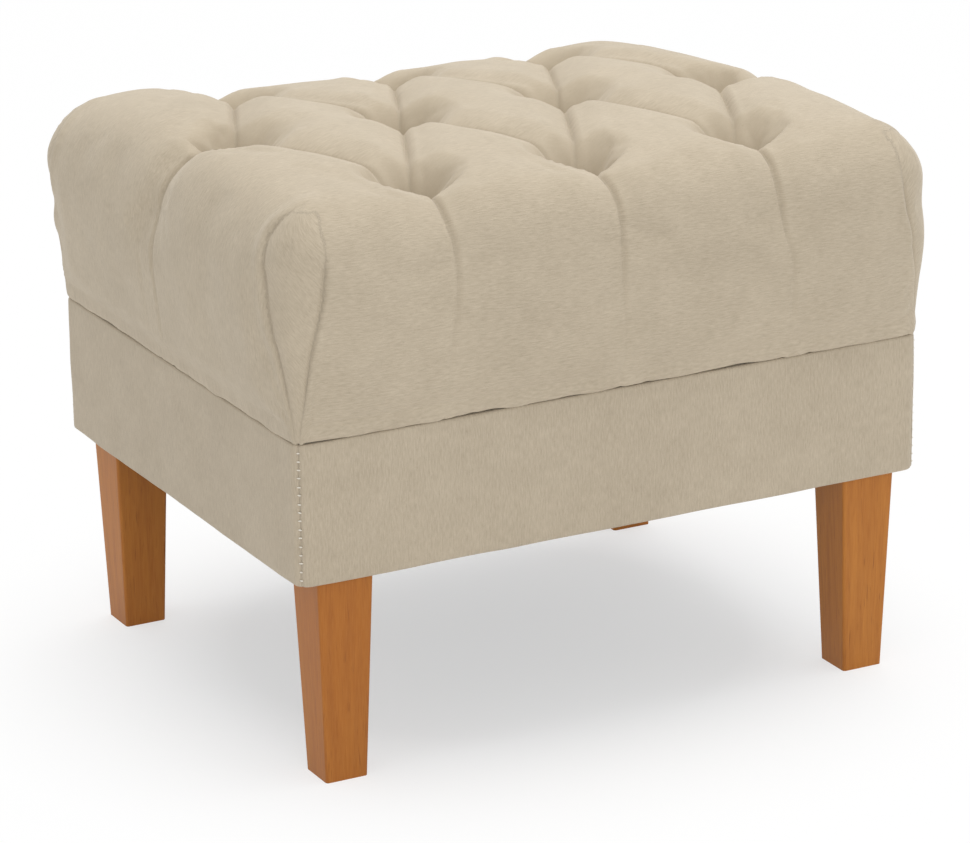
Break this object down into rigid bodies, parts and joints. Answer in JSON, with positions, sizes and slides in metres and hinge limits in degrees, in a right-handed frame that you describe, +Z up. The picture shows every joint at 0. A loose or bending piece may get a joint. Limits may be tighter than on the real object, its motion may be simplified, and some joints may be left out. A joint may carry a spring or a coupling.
{
  "type": "tufted footstool",
  "caption": "Rectangular diamond-tufted footstool: a deep-buttoned fabric cushion on an upholstered box with square tapered wooden legs.",
  "frame": {"origin": "on the floor, under the middle of the stool", "axes": "+Z up, +X along the long side to the right, -Y towards the long front side"},
  "size_m": [0.576, 0.466, 0.4682],
  "materials": {
    "cushion_fabric": "beige chenille velvet with a soft sheen",
    "rail_fabric": "the same beige chenille velvet, with its rib upright",
    "leg_wood": "honey-brown stained wood, satin lacquer",
    "frame_wood": "sawn pine",
    "plywood": "plain plywood",
    "padding_foam": "open-cell foam",
    "wadding": "white polyester wadding",
    "dust_cloth": "black non-woven cloth",
    "thread": "pale twisted thread",
    "screw_steel": "zinc plated",
    "staple_steel": "galvanised wire"
  },
  "bodies": {
    "root": {"back_rail": "frame_wood", "block_screws": "screw_steel", "cleat_screws": "screw_steel", "corner_stitches": "thread", "dust_cover": "dust_cloth", "dust_cover_staples": "staple_steel", "foam_block": "padding_foam", "front_rail": "frame_wood", "hanger_bolts": "screw_steel", "left_cleat": "frame_wood", "left_rail": "frame_wood", "leg_back_left": "leg_wood", "leg_back_right": "leg_wood", "leg_block_back_left": "frame_wood", "leg_block_back_right": "frame_wood", "leg_block_front_left": "frame_wood", "leg_block_front_right": "frame_wood", "leg_front_left": "leg_wood", "leg_front_right": "leg_wood", "pad_cover_staples": "staple_steel", "rail_cover_back": "rail_fabric", "rail_cover_front": "rail_fabric", "rail_cover_left": "rail_fabric", "rail_cover_right": "rail_fabric", "rail_cover_staples": "staple_steel", "rail_padding_back": "padding_foam", "rail_padding_front": "padding_foam", "rail_padding_left": "padding_foam", "rail_padding_right": "padding_foam", "rail_screws": "screw_steel", "right_cleat": "frame_wood", "right_rail": "frame_wood", "seat_board": "plywood", "seat_screws": "screw_steel", "tee_nuts": "screw_steel", "tuft_button_1": "cushion_fabric", "tuft_button_10": "cushion_fabric", "tuft_button_2": "cushion_fabric", "tuft_button_3": "cushion_fabric", "tuft_button_4": "cushion_fabric", "tuft_button_5": "cushion_fabric", "tuft_button_6": "cushion_fabric", "tuft_button_7": "cushion_fabric", "tuft_button_8": "cushion_fabric", "tuft_button_9": "cushion_fabric", "tuft_twines": "thread", "tufted_cover": "cushion_fabric", "twine_washers": "screw_steel", "wadding": "wadding"}
  },
  "joints": []
}
